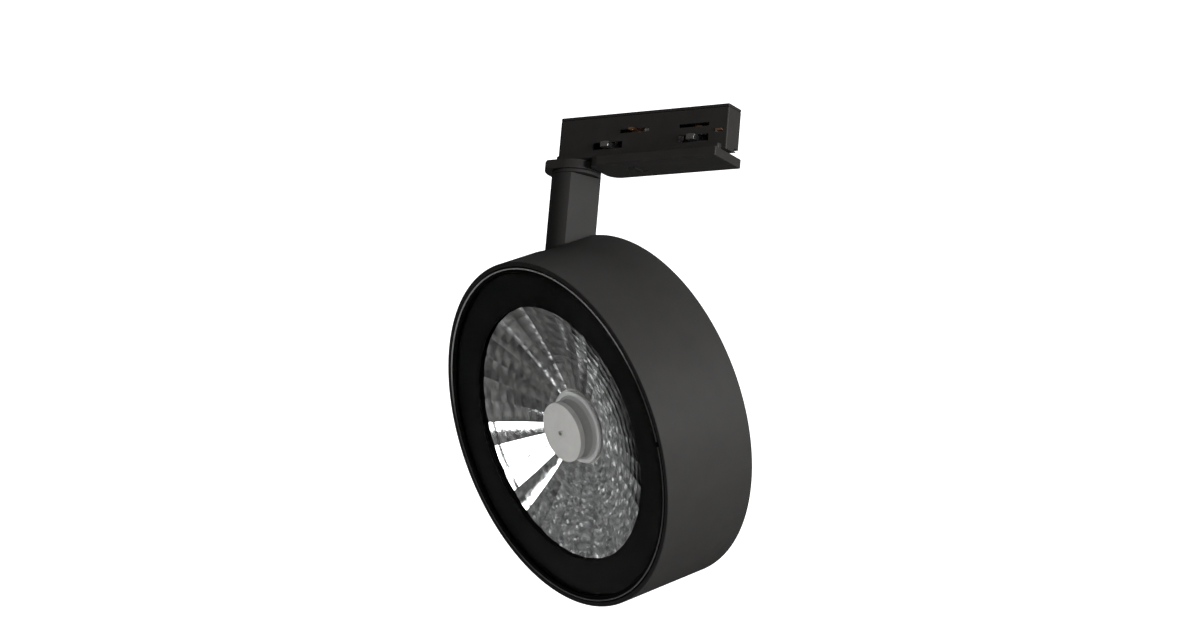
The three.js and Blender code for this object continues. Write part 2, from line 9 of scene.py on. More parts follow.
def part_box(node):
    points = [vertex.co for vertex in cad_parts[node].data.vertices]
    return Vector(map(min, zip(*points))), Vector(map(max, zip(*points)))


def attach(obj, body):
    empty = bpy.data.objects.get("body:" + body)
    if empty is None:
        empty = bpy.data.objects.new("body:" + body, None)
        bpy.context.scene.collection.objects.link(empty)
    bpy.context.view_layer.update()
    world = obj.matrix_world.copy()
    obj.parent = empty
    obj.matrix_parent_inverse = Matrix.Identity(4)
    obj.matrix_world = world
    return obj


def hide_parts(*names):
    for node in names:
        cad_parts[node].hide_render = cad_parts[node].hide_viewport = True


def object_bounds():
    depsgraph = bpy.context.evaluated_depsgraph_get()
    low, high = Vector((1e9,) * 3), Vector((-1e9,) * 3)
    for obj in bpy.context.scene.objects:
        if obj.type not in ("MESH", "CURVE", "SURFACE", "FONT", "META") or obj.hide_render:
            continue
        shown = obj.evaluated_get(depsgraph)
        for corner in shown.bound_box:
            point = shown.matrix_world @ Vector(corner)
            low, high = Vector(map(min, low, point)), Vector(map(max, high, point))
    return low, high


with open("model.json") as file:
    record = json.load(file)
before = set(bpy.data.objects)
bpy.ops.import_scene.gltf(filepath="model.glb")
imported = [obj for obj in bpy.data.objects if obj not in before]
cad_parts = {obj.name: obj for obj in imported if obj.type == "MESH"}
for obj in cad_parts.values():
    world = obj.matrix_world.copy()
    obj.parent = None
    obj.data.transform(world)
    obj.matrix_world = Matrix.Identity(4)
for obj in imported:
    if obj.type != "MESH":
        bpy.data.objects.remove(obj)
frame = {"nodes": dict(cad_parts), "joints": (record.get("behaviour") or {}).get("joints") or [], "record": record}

cad_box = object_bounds()

MM = 0.001
FINE = 224               # steps round the large turned pieces
MEDIUM = 96              # steps round the small turned pieces
COARSE = 48              # steps round screws and their holes
SHARP = 32               # degrees; edges bent less than this are shaded smooth
FAR = 130                # mm; where a tool that cuts the head ends
NEAR = 20                # mm; where a tool that cuts the stem ends

# ---------- driving dimensions in millimetres; those of the head count back from its front rim ----------
HEAD_R = 93.5
HEAD_DEPTH = 56
WALL = 2.5
WALL_IN_R = HEAD_R - WALL
CLEARANCE = 0.3          # between most parts that lie against each other
APERTURE_R = 68.7
BEZEL_IN_R = 87.7
BEZEL_BACK = 8
BEAD_R = 89.9
NOTCH_AT = 9.1           # degrees round the rim
NOTCH_HALF = 1.4
GLASS_FRONT = 1.3
GLASS_BACK = 2.8
GLASS_R = 88.6
MASK_DEPTH = 3.1
MASK_T = 0.6
SLOT_HALF = 9.9
SLOT_DEPTH = 24
SLOT_INNER = 60.5
BACK_T = 2.8
GROOVE_R = 69            # the round line on the back cover
GROOVE_DEPTH = 0.5
SEAT_IN_R = 78
SEAT_T = 2.2
SEAT_OPEN_HALF = 13.5
SCREW_CIRCLE = 82
SCREW_TURNS = (35, 145, 235, 305)    # degrees round the back cover
SCREW_R = 1.5
SCREW_HEAD_R = 3.2
SCREW_HOLE_R = 1.8
SCREW_SINK_R = 3.7
SCREW_SINK = 1.65
REFLECTOR_FRONT = 5.8
REFLECTOR_BACK = 17.4
REFLECTOR_T = 1
REFLECTOR_NECK_R = 20.5
REFLECTOR_FLANGE = 3.3
REFLECTOR_SECTORS = 32
REFLECTOR_RINGS = 10
CAP_R = 16
CAP_WALL = 1.4
CAP_FRONT = 4.9
CAP_RIM = 6.8
GATE_R = 1.1             # the hole that moulding leaves at the cap's centre
GATE_DEPTH = 2.2
NIB_X = 1.9
NIB_Y = -0.4
OPTIC_FLANGE_R = 19.6
OPTIC_FLANGE = 15.5
OPTIC_FLANGE_T = 1.5
OPTIC_WALL = 1.5
HOLDER_FRONT = 18.9
STEM_R = 13
STEM_FLAT = 9.3
STEM_TOP = -10.15
BORE_R = 4.3             # wire passage through the stem, the collar and the pivot housing
COVER_HALF = 13.4
COVER_TOP = -2.8
COVER_BOTTOM = -7.75
COVER_START = 14.2
COVER_END = 92
COVER_WALL = 1.8
HOUSING_R = 17
SELECTOR_X = 38
DIAL_R = 5
DIAL_TOP = -3.1

# ---------- the head's own frame, worked out from the joints and the glass ----------
joints = {joint["name"]: joint for joint in frame["joints"]}
tilt_pivot = Vector(joints["tilt"]["pos_m"])
side = -Vector(joints["tilt"]["axis"]).normalized()
pan_angle = math.atan2(side.y, side.x)
tilt_angle = -math.radians(joints["tilt"]["range_deg"][0])
stem = Matrix.Rotation(pan_angle, 4, "Z")
head_turn = stem @ Matrix.Rotation(-tilt_angle, 4, "X")
back_way = head_turn.to_3x3() @ Vector((0, 0, 1))
down_way = head_turn.to_3x3() @ Vector((0, 1, 0))
glass_low, glass_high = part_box("front_glass")
rim_centre = (glass_low + glass_high) / 2 - back_way * (GLASS_FRONT + GLASS_BACK) / 2 * MM
drum = Matrix.Translation(rim_centre) @ head_turn
world = Matrix.Identity(4)
PIVOT_Z = tilt_pivot.z / MM


# ---------- mesh tools ----------
def new_object(name, mesh, matrix=world):
    mesh.transform(matrix)
    obj = bpy.data.objects.new(name, mesh)
    bpy.context.scene.collection.objects.link(obj)
    return obj


def from_bmesh(name, bm, matrix=world, sharp=SHARP):
    bmesh.ops.recalc_face_normals(bm, faces=bm.faces)
    mesh = bpy.data.meshes.new(name)
    bm.to_mesh(mesh)
    bm.free()
    smooth(mesh, sharp)
    return new_object(name, mesh, matrix)


def smooth(mesh, sharp):
    mesh.polygons.foreach_set("use_smooth", [True] * len(mesh.polygons))
    mesh.set_sharp_from_angle(angle=math.radians(sharp))


def turned(name, profile, steps, matrix=world, sharp=SHARP):
    """A solid of revolution about Z from a closed list of [radius, z] in millimetres."""
    bm = bmesh.new()
    turns = [2 * math.pi * i / steps for i in range(steps)]
    rings = []
    for radius, z in profile:
        if radius < 1e-6:
            rings.append([bm.verts.new((0, 0, z * MM))])
            continue
        reach = radius * MM
        rings.append([bm.verts.new((reach * math.cos(a), reach * math.sin(a), z * MM)) for a in turns])
    closed = profile[0][0] > 1e-6
    pairs = list(zip(rings, rings[1:])) + ([(rings[-1], rings[0])] if closed else [])
    for low, high in pairs:
        for i in range(steps):
            j = (i + 1) % steps
            if len(low) == 1 and len(high) == 1:
                continue
            if len(low) == 1:
                bm.faces.new((low[0], high[i], high[j]))
            elif len(high) == 1:
                bm.faces.new((low[i], low[j], high[0]))
            else:
                bm.faces.new((low[i], low[j], high[j], high[i]))
    return from_bmesh(name, bm, matrix, sharp)


def rounded(profile, radii, steps=5):
    """The closed outline with its corners rounded; radii is one number for all corners, or a list."""
    points = [Vector(p) for p in profile]
    result = []
    for i, corner in enumerate(points):
        radius = radii[i] if isinstance(radii, list) else radii
        before = points[i - 1] - corner
        after = points[(i + 1) % len(points)] - corner
        if radius <= 0 or before.length < 1e-9 or after.length < 1e-9:
            result.append(tuple(corner))
            continue
        half = before.angle(after) / 2
        if abs(math.sin(2 * half)) < 1e-6:
            result.append(tuple(corner))
            continue
        reach = min(radius / math.tan(half), 0.45 * before.length, 0.45 * after.length)
        start = corner + before.normalized() * reach
        end = corner + after.normalized() * reach
        for k in range(steps + 1):
            t = k / steps
            result.append(tuple((1 - t) ** 2 * start + 2 * t * (1 - t) * corner + t ** 2 * end))
    return result


def slab(name, outline, z0, z1, matrix=world, bevel=0.0):
    """A flat plate of the outline, in millimetres, with its edges bevelled."""
    bm = bmesh.new()
    base = [bm.verts.new((x * MM, y * MM, z0 * MM)) for x, y in outline]
    face = bm.faces.new(base)
    bmesh.ops.recalc_face_normals(bm, faces=bm.faces)
    extruded = bmesh.ops.extrude_face_region(bm, geom=[face])
    moved = [v for v in extruded["geom"] if isinstance(v, bmesh.types.BMVert)]
    bmesh.ops.translate(bm, verts=moved, vec=(0, 0, (z1 - z0) * MM))
    obj = from_bmesh(name, bm, matrix)
    if bevel:
        bevelled(obj, bevel)
    return obj


def block(name, x0, x1, y0, y1, z0, z1, matrix=world, bevel=0.0):
    return slab(name, [(x0, y0), (x1, y0), (x1, y1), (x0, y1)], z0, z1, matrix, bevel)


def bake_modifiers(obj):
    bpy.context.view_layer.update()
    evaluated = obj.evaluated_get(bpy.context.evaluated_depsgraph_get())
    mesh = bpy.data.meshes.new_from_object(evaluated)
    obj.modifiers.clear()
    obj.data = mesh


def apply_modifiers(obj):
    bake_modifiers(obj)
    smooth(obj.data, SHARP)
    return obj


def bevelled(obj, width, segments=3, limit=40):
    modifier = obj.modifiers.new("bevel", "BEVEL")
    modifier.width = width * MM
    modifier.segments = segments
    modifier.limit_method = "ANGLE"
    modifier.angle_limit = math.radians(limit)
    modifier.harden_normals = False
    return apply_modifiers(obj)


def even_normals(obj):
    """Keeps large flat faces flat beside their rounded edges."""
    modifier = obj.modifiers.new("normals", "WEIGHTED_NORMAL")
    modifier.keep_sharp = True
    modifier.weight = 60
    bake_modifiers(obj)


def combine(obj, tools, operation):
    for tool in tools:
        modifier = obj.modifiers.new("boolean", "BOOLEAN")
        modifier.operation = operation
        modifier.solver = "EXACT"
        modifier.object = tool
        apply_modifiers(obj)
        bpy.data.objects.remove(tool)
    return obj


def cut(obj, *tools):
    return combine(obj, tools, "DIFFERENCE")


def keep_inside(obj, *tools):
    return combine(obj, tools, "INTERSECT")


def weld(obj, *others):
    return combine(obj, others, "UNION")


def disc(name, radius, z0, z1, steps=MEDIUM, matrix=world, x=0, y=0):
    spot = matrix @ Matrix.Translation((x * MM, y * MM, 0))
    return turned(name, [(0, z0), (radius, z0), (radius, z1), (0, z1)], steps, spot)


def cross_rod(name, radius, x0, x1, y, z, matrix, steps=MEDIUM):
    """A rod along the local X axis through (0, y, z)."""
    lie = matrix @ Matrix.Translation((0, y * MM, z * MM)) @ Matrix.Rotation(math.pi / 2, 4, "Y")
    return turned(name, [(0, x0), (radius, x0), (radius, x1), (0, x1)], steps, lie)


def arc(x, y, radius, start, end, steps=20):
    """Points of an arc in millimetres; the angles are in degrees."""
    turns = [math.radians(start + (end - start) * i / steps) for i in range(steps + 1)]
    return [(x + radius * math.cos(a), y + radius * math.sin(a)) for a in turns]


def cad_copy(node, name, bevel):
    """A finer copy of a flat-sided CAD piece, with its facets joined and its edges bevelled."""
    bm = bmesh.new()
    bm.from_mesh(frame["nodes"][node].data)
    bmesh.ops.remove_doubles(bm, verts=bm.verts, dist=1e-6)
    bmesh.ops.dissolve_limit(bm, angle_limit=math.radians(0.5), verts=bm.verts, edges=bm.edges)
    return bevelled(from_bmesh(name, bm), bevel, 2)


# ---------- materials ----------
def shader(name, base, roughness, metallic=0.0, specular=0.5):
    material = bpy.data.materials.new(name)
    material.use_nodes = True
    bsdf = material.node_tree.nodes["Principled BSDF"]
    bsdf.inputs["Base Color"].default_value = (*base, 1)
    bsdf.inputs["Roughness"].default_value = roughness
    bsdf.inputs["Metallic"].default_value = metallic
    bsdf.inputs["Specular IOR Level"].default_value = specular
    return material, material.node_tree.nodes, material.node_tree.links, bsdf


def coordinates(nodes):
    return nodes.new("ShaderNodeTexCoord").outputs["Object"]


def noise(nodes, links, where, scale, detail=3.0, roughness=0.5):
    node = nodes.new("ShaderNodeTexNoise")
    node.inputs["Scale"].default_value = scale
    node.inputs["Detail"].default_value = detail
    node.inputs["Roughness"].default_value = roughness
    links.new(where, node.inputs["Vector"])
    return node.outputs["Fac"]


def ramp(nodes, links, value, stops):
    node = nodes.new("ShaderNodeValToRGB")
    while len(node.color_ramp.elements) < len(stops):
        node.color_ramp.elements.new(0.5)
    for element, (position, colour) in zip(node.color_ramp.elements, stops):
        element.position = position
        element.color = (*colour, 1)
    links.new(value, node.inputs["Fac"])
    return node.outputs["Color"]


def bump(nodes, links, height, strength, distance):
    node = nodes.new("ShaderNodeBump")
    node.inputs["Strength"].default_value = strength
    node.inputs["Distance"].default_value = distance
    links.new(height, node.inputs["Height"])
    return node.outputs["Normal"]


def math_node(nodes, links, operation, first, second):
    node = nodes.new("ShaderNodeMath")
    node.operation = operation
    for socket, value in zip(node.inputs, (first, second)):
        if isinstance(value, (int, float)):
            socket.default_value = value
        else:
            links.new(value, socket)
    return node.outputs["Value"]


def grey(value, warm=0.0):
    return (value * (1 + warm), value, value * (1 - warm))


def textured(name, base, spread, roughness, grain, strength, depth, metallic=0.0, specular=0.5, warm=0.03):
    """A coating with a fine grain in its height, its colour and its gloss."""
    material, nodes, links, bsdf = shader(name, grey(base, warm), roughness, metallic, specular)
    where = coordinates(nodes)
    fine = noise(nodes, links, where, grain, 2.0, 0.6)
    broad = noise(nodes, links, where, grain / 40, 3.0, 0.5)
    shades = [(0.3, grey(base * (1 - spread), warm)), (0.7, grey(base * (1 + spread), warm))]
    links.new(ramp(nodes, links, broad, shades), bsdf.inputs["Base Color"])
    gloss = ramp(nodes, links, fine, [(0.3, grey(roughness - 0.06)), (0.7, grey(roughness + 0.06))])
    links.new(gloss, bsdf.inputs["Roughness"])
    links.new(bump(nodes, links, fine, strength, depth), bsdf.inputs["Normal"])
    return material


def powder_coat():
    return textured("powder_coat", base=0.045, spread=0.05, roughness=0.62, grain=2600, strength=0.25,
                    depth=0.00012, specular=0.25)


def moulded_black():
    return textured("moulded_black", base=0.04, spread=0.08, roughness=0.5, grain=3800, strength=0.2,
                    depth=0.0001, specular=0.35, warm=0.05)


def mask_finish():
    return textured("mask_finish", base=0.008, spread=0.05, roughness=0.35, grain=5000, strength=0.02,
                    depth=0.00001, specular=0.02, warm=0.0)


def rubber():
    return textured("gasket_rubber", base=0.02, spread=0.1, roughness=0.8, grain=3000, strength=0.2,
                    depth=0.0001, specular=0.3, warm=0.0)


def cable_sheath():
    return textured("cable_sheath", base=0.02, spread=0.1, roughness=0.45, grain=1500, strength=0.1,
                    depth=0.0001, specular=0.4, warm=0.0)


def white_moulding():
    return textured("white_moulding", base=0.7, spread=0.03, roughness=0.4, grain=2500, strength=0.1,
                    depth=0.0001, specular=0.4, warm=0.02)


def cast_metal():
    return textured("cast_metal", base=0.45, spread=0.08, roughness=0.45, grain=1800, strength=0.3,
                    depth=0.0002, metallic=1.0, warm=0.01)


def plated_steel():
    return textured("plated_steel", base=0.5, spread=0.06, roughness=0.3, grain=1200, strength=0.1,
                    depth=0.0001, metallic=1.0, warm=0.01)


def phosphor():
    return textured("phosphor", base=0.7, spread=0.05, roughness=0.4, grain=900, strength=0.1,
                    depth=0.0001, warm=0.45)


def copper_strip():
    material, nodes, links, bsdf = shader("copper_strip", (0.75, 0.4, 0.22), 0.3, 1.0)
    tarnish = noise(nodes, links, coordinates(nodes), 220, 4.0, 0.6)
    colour = ramp(nodes, links, tarnish, [(0.35, (0.55, 0.27, 0.14)), (0.65, (0.83, 0.47, 0.27))])
    links.new(colour, bsdf.inputs["Base Color"])
    return material


def circuit_board():
    dark, light = (0.02, 0.12, 0.06), (0.04, 0.2, 0.1)
    material, nodes, links, bsdf = shader("circuit_board", dark, 0.4)
    tracks = nodes.new("ShaderNodeTexVoronoi")
    tracks.inputs["Scale"].default_value = 320
    links.new(coordinates(nodes), tracks.inputs["Vector"])
    colour = ramp(nodes, links, tracks.outputs["Distance"], [(0.4, dark), (0.6, light)])
    links.new(colour, bsdf.inputs["Base Color"])
    return material


def thin_glass():
    """Clear glass of a low index, which mirrors the room only faintly."""
    material, nodes, links, bsdf = shader("clear_glass", (0.97, 0.98, 0.98), 0.0)
    bsdf.inputs["Transmission Weight"].default_value = 1.0
    bsdf.inputs["IOR"].default_value = 1.1
    smears = noise(nodes, links, coordinates(nodes), 60, 3.0, 0.6)
    gloss = ramp(nodes, links, smears, [(0.4, grey(0.0)), (0.8, grey(0.03))])
    links.new(gloss, bsdf.inputs["Roughness"])
    return material


def share_along(nodes, links, way, low, high):
    """0 to 1 between two distances from the origin, in metres, along a direction."""
    place = nodes.new("ShaderNodeVectorMath")
    place.operation = "DOT_PRODUCT"
    links.new(coordinates(nodes), place.inputs[0])
    place.inputs[1].default_value = way
    reach = nodes.new("ShaderNodeMapRange")
    reach.inputs["From Min"].default_value = low
    reach.inputs["From Max"].default_value = high
    links.new(place.outputs["Value"], reach.inputs["Value"])
    return reach.outputs["Result"]


def shaded_acrylic():
    """Clear acrylic that is darker where its wall is hidden behind the cap."""
    material, nodes, links, bsdf = shader("shaded_acrylic", grey(0.9), 0.05)
    bsdf.inputs["Transmission Weight"].default_value = 0.4
    bsdf.inputs["IOR"].default_value = 1.45
    rim_at = rim_centre.dot(back_way)
    flange_at = rim_at + (OPTIC_FLANGE + OPTIC_FLANGE_T) * MM
    depth = share_along(nodes, links, back_way, rim_at + CAP_RIM * MM, flange_at)
    shades = [(0.0, grey(0.6)), (0.5, grey(0.75)), (0.8, grey(0.8)), (0.9, grey(0.97))]
    links.new(ramp(nodes, links, depth, shades), bsdf.inputs["Base Color"])
    streaks = noise(nodes, links, coordinates(nodes), 160, 3.0, 0.6)
    gloss = ramp(nodes, links, streaks, [(0.3, grey(0.08)), (0.7, grey(0.25))])
    links.new(gloss, bsdf.inputs["Roughness"])
    return material


def painted_highlight_edge():
    """Bare metal with a painted highlight: bright along the top of the rim and dull down its sides."""
    material, nodes, links, bsdf = shader("painted_highlight_edge", grey(0.6), 0.35, 0.3)
    middle_drop = rim_centre.dot(down_way)
    drop = share_along(nodes, links, down_way, middle_drop - HEAD_R * MM, middle_drop + HEAD_R * MM)
    # painted highlight: light at the top of the rim, dark down its sides
    shades = [(0.05, grey(1.0)), (0.25, grey(0.9)), (0.4, grey(0.12)), (0.75, grey(0.12)), (0.95, grey(0.35))]
    links.new(ramp(nodes, links, drop, shades), bsdf.inputs["Base Color"])
    return material


def mirror_coat():
    material, nodes, links, bsdf = shader("mirror_coat", grey(0.9), 0.05, 1.0)
    where = coordinates(nodes)
    haze = noise(nodes, links, where, 90, 4.0, 0.6)
    colour = ramp(nodes, links, haze, [(0.3, grey(0.75)), (0.7, grey(0.92))])
    links.new(colour, bsdf.inputs["Base Color"])
    gloss = ramp(nodes, links, noise(nodes, links, where, 300, 3.0), [(0.3, grey(0.03)), (0.7, grey(0.12))])
    links.new(gloss, bsdf.inputs["Roughness"])
    ripple = noise(nodes, links, where, 160, 3.0, 0.6)
    links.new(bump(nodes, links, ripple, 0.06, 0.0006), bsdf.inputs["Normal"])
    return material


def frosted_cap_finish():
    material, nodes, links, bsdf = shader("frosted_cap_finish", grey(0.75, 0.01), 0.5)
    mottle = noise(nodes, links, coordinates(nodes), 200, 4.0, 0.6)
    colour = ramp(nodes, links, mottle, [(0.3, grey(0.72, 0.02)), (0.7, grey(0.8, 0.02))])
    links.new(colour, bsdf.inputs["Base Color"])
    bsdf.inputs["Subsurface Weight"].default_value = 0.3
    bsdf.inputs["Subsurface Radius"].default_value = (0.004, 0.004, 0.004)
    return material


finishes = {
    "black_paint": powder_coat(),
    "black_plastic": moulded_black(),
    "mask_black": mask_finish(),
    "reflector_metal": mirror_coat(),
    "clear_glass": thin_glass(),
    "clear_plastic": shaded_acrylic(),
    "frosted_plastic": frosted_cap_finish(),
    "steel": plated_steel(),
    "copper": copper_strip(),
    "gasket_rubber": rubber(),
    "cast_aluminium": cast_metal(),
    "circuit_board": circuit_board(),
    "phosphor": phosphor(),
    "white_plastic": white_moulding(),
    "cable_skin": cable_sheath(),
}
slot_of = {part["node"]: part["material_slot"] for part in frame["record"]["subparts"]}
body_of = {node: body for body, nodes in frame["record"]["behaviour"]["bodies"].items() for node in nodes}


def dress(obj, slot):
    obj.data.materials.clear()
    obj.data.materials.append(finishes[slot])


def stands_for(obj, node, *more, flat_sided=True):
    """Gives the piece its node's finish and body, and shows it in the node's place."""
    if flat_sided:
        even_normals(obj)
    dress(obj, slot_of[node])
    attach(obj, body_of[node])
    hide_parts(node, *more)
    return obj


# ---------- head ----------
def stem_slot():
    return block("slot_tool", -SLOT_HALF, SLOT_HALF, -FAR, -SLOT_INNER, SLOT_DEPTH, FAR, drum)


def make_drum_wall():
    corners = [(WALL_IN_R, 0), (HEAD_R, 0), (HEAD_R, HEAD_DEPTH), (WALL_IN_R, HEAD_DEPTH)]
    wall = turned("drum_wall", rounded(corners, [0.4, 0.7, 1.8, 0.4], 7), FINE, drum)
    cut(wall, stem_slot())
    stands_for(wall, "housing_shell")


def make_cover_seat():
    outer = WALL_IN_R - CLEARANCE
    back = HEAD_DEPTH - BACK_T - CLEARANCE
    front = back - SEAT_T
    outline = rounded([(SEAT_IN_R, front), (outer, front), (outer, back), (SEAT_IN_R, back)], 0.3, 3)
    seat = turned("cover_seat_ring", outline, FINE, drum)
    cut(seat, block("gap_tool", -SEAT_OPEN_HALF, SEAT_OPEN_HALF, -FAR, -SLOT_INNER, SLOT_DEPTH, FAR, drum))
    for x, y in back_screw_spots():
        cut(seat, disc("hole_tool", SCREW_HOLE_R, SLOT_DEPTH, FAR, COARSE, drum, x, y))
    stands_for(seat, "cover_seat")


def back_screw_spots():
    turns = [math.radians(a) for a in SCREW_TURNS]
    return [(SCREW_CIRCLE * math.cos(a), SCREW_CIRCLE * math.sin(a)) for a in turns]


def make_back_cover():
    """The lid, with a round line pressed into it and a sunk seat for each screw."""
    outer = WALL_IN_R - 0.35
    front, back = HEAD_DEPTH - BACK_T, HEAD_DEPTH
    groove = back - GROOVE_DEPTH
    corners = [(0, front), (outer, front), (outer, back), (GROOVE_R + 1, back), (GROOVE_R + 0.4, groove),
               (GROOVE_R - 0.4, groove), (GROOVE_R - 1, back), (0, back)]
    cover = turned("rear_cover", rounded(corners, [0, 0.3, 0.6, 0.1, 0, 0, 0.1, 0], 4), FINE, drum)
    cut(cover, stem_slot())
    for x, y in back_screw_spots():
        cut(cover, disc("sink_tool", SCREW_SINK_R, back - SCREW_SINK, back + 5, COARSE, drum, x, y))
        cut(cover, disc("hole_tool", SCREW_HOLE_R, front - 5, back + 5, COARSE, drum, x, y))
    stands_for(cover, "back_cover")


def star_tool(radius, z0, z1, matrix, points=6, steps=72):
    """A wavy star, which cuts the drive of a screw."""
    outline = []
    for i in range(steps):
        angle = 2 * math.pi * i / steps
        reach = radius * (1 + 0.13 * math.cos(points * angle))
        outline.append((reach * math.cos(angle), reach * math.sin(angle)))
    return slab("star_tool", outline, z0, z1, matrix)


def make_back_screws():
    tip, shoulder, top = HEAD_DEPTH - 5, HEAD_DEPTH - 1.4, HEAD_DEPTH - 0.2
    outline = rounded([(0, tip), (SCREW_R, tip), (SCREW_R, shoulder), (SCREW_HEAD_R, shoulder),
                       (SCREW_HEAD_R, top), (0, top)], [0, 0.1, 0, 0.1, 0.6, 0], 4)
    for i, (x, y) in enumerate(back_screw_spots()):
        spot = drum @ Matrix.Translation((x * MM, y * MM, 0))
        screw = turned(f"rear_screw_{i + 1}", outline, COARSE, spot)
        cut(screw, star_tool(SCREW_R, top - 0.9, FAR, spot))
        stands_for(screw, f"back_screw_{i + 1}")


def make_bezel():
    outer = WALL_IN_R - 0.5
    seat = GLASS_R + CLEARANCE
    outline = rounded([(BEZEL_IN_R, 0.2), (outer, 0.2), (outer, BEZEL_BACK), (seat, BEZEL_BACK),
                       (seat, GLASS_FRONT - 0.2), (BEZEL_IN_R, GLASS_FRONT - 0.2)],
                      [0.5, 0.6, 0.2, 0.2, 0.1, 0.1], 6)
    stands_for(turned("bezel_ring", outline, FINE, drum), "front_bezel")


def make_mask():
    back = MASK_DEPTH + MASK_T
    corners = [(APERTURE_R, MASK_DEPTH), (GLASS_R, MASK_DEPTH), (GLASS_R, back), (APERTURE_R, back)]
    stands_for(turned("aperture_mask", rounded(corners, 0.15, 3), FINE, drum), "mask_ring")


def make_glass():
    outline = rounded([(0, GLASS_FRONT), (GLASS_R, GLASS_FRONT), (GLASS_R, GLASS_BACK), (0, GLASS_BACK)],
                      [0, 0.3, 0.3, 0], 3)
    stands_for(turned("lens_glass", outline, FINE, drum), "front_glass")


def make_bezel_bead():
    """The edge that stands a little proud between the bezel and the drum wall, with a painted highlight along its
    top.
    """
    outline = [(BEAD_R - 0.35, 0.3), (BEAD_R - 0.3, -0.2), (BEAD_R + 0.1, -0.4), (BEAD_R + 0.3, -0.25),
               (BEAD_R + 0.35, 0.3)]
    bead = turned("bezel_bead", outline, FINE, drum)
    notch = drum @ Matrix.Rotation(math.radians(NOTCH_AT), 4, "Z")
    cut(bead, block("notch_tool", APERTURE_R, FAR, -NOTCH_HALF, NOTCH_HALF, -1, 3, notch))
    stands_for(bead, "front_bezel")
    # the bead's finish carries a painted highlight, bright along the top of the rim
    bead.data.materials[0] = painted_highlight_edge()


FLUTE_STEPS = 6          # grid across one facet
RING_STEPS = 4           # grid along one facet
FLUTE_SLOPE = 0.047      # slope of the outermost facets at their two sides
RING_SLOPE = 0.028       # slope of a facet's surface at its front and back
FACET_WIDTH = 2 * math.pi * APERTURE_R / REFLECTOR_SECTORS


def reflector_point(share):
    """Radius and depth along the bowl, from the aperture at 0 to the neck at 1."""
    radius = APERTURE_R + (REFLECTOR_NECK_R - APERTURE_R) * share
    fall = (APERTURE_R ** 2 - radius ** 2) / (APERTURE_R ** 2 - REFLECTOR_NECK_R ** 2)
    return radius, REFLECTOR_FRONT + fall * (REFLECTOR_BACK - REFLECTOR_FRONT)


def facet_corners(sector, ring):
    """The two front corners of a facet and then the two back ones, in order round it."""
    corners = []
    for s, r in ((0, 0), (1, 0), (1, 1), (0, 1)):
        angle = 2 * math.pi * (sector + s) / REFLECTOR_SECTORS
        radius, z = reflector_point((ring + r) / REFLECTOR_RINGS)
        corners.append(Vector((radius * math.cos(angle), radius * math.sin(angle), z)))
    return corners


def facet_normal(corners):
    """The direction that the flat facet faces, into the bowl."""
    normal = (corners[1] - corners[0]).cross(corners[3] - corners[0]).normalized()
    inward = -Vector((corners[0].x + corners[1].x, corners[0].y + corners[1].y, 0))
    return normal if normal.dot(inward) >= 0 else -normal


def facet_grid(bm, sector, ring):
    """One facet, bulging into the bowl across its width and, less, along its length."""
    corners = facet_corners(sector, ring)
    normal = facet_normal(corners)
    ring_bulge = RING_SLOPE * (corners[3] - corners[0]).length / 4
    front_width = (corners[1] - corners[0]).length
    back_width = (corners[2] - corners[3]).length
    grid = []
    for i in range(FLUTE_STEPS + 1):
        row = []
        for k in range(RING_STEPS + 1):
            u, v = i / FLUTE_STEPS, k / RING_STEPS
            front = corners[0] * (1 - u) + corners[1] * u
            back = corners[3] * (1 - u) + corners[2] * u
            width = front_width * (1 - v) + back_width * v
            flute = FLUTE_SLOPE * width ** 2 / (4 * FACET_WIDTH) * (1 - (2 * u - 1) ** 2)
            crown = ring_bulge * (1 - (2 * v - 1) ** 2)
            row.append(bm.verts.new((front * (1 - v) + back * v + normal * (flute + crown)) * MM))
        grid.append(row)
    for i in range(FLUTE_STEPS):
        for k in range(RING_STEPS):
            bm.faces.new((grid[i][k], grid[i + 1][k], grid[i + 1][k + 1], grid[i][k + 1]))


def sector_edge(radius, step):
    """A point on the straight-sided outline that the facets follow."""
    sector, part = divmod(step, FLUTE_STEPS)
    start = 2 * math.pi * sector / REFLECTOR_SECTORS
    end = 2 * math.pi * (sector + 1) / REFLECTOR_SECTORS
    share = part / FLUTE_STEPS
    return (radius * (math.cos(start) * (1 - share) + math.cos(end) * share),
            radius * (math.sin(start) * (1 - share) + math.sin(end) * share))


def reflector_skirt(bm):
    """The flange at the front and the smooth outer side of the bowl."""
    wide = APERTURE_R + REFLECTOR_FLANGE
    back = REFLECTOR_FRONT + REFLECTOR_T
    profile = [(APERTURE_R, REFLECTOR_FRONT), (wide, REFLECTOR_FRONT), (wide, back), (APERTURE_R, back)]
    for i in range(1, REFLECTOR_RINGS + 1):
        radius, z = reflector_point(i / REFLECTOR_RINGS)
        profile.append((radius, z + REFLECTOR_T))
    profile.append(reflector_point(1))
    count = REFLECTOR_SECTORS * FLUTE_STEPS
    rings = []
    for radius, z in profile:
        spots = [sector_edge(radius, i) for i in range(count)]
        rings.append([bm.verts.new((x * MM, y * MM, z * MM)) for x, y in spots])
    for low, high in zip(rings, rings[1:]):
        for i in range(count):
            j = (i + 1) % count
            bm.faces.new((low[i], low[j], high[j], high[i]))


def make_reflector():
    bm = bmesh.new()
    for sector in range(REFLECTOR_SECTORS):
        for ring in range(REFLECTOR_RINGS):
            facet_grid(bm, sector, ring)
    reflector_skirt(bm)
    bmesh.ops.remove_doubles(bm, verts=bm.verts, dist=2e-6)
    stands_for(from_bmesh("faceted_reflector", bm, drum, 2.5), "reflector", flat_sided=False)


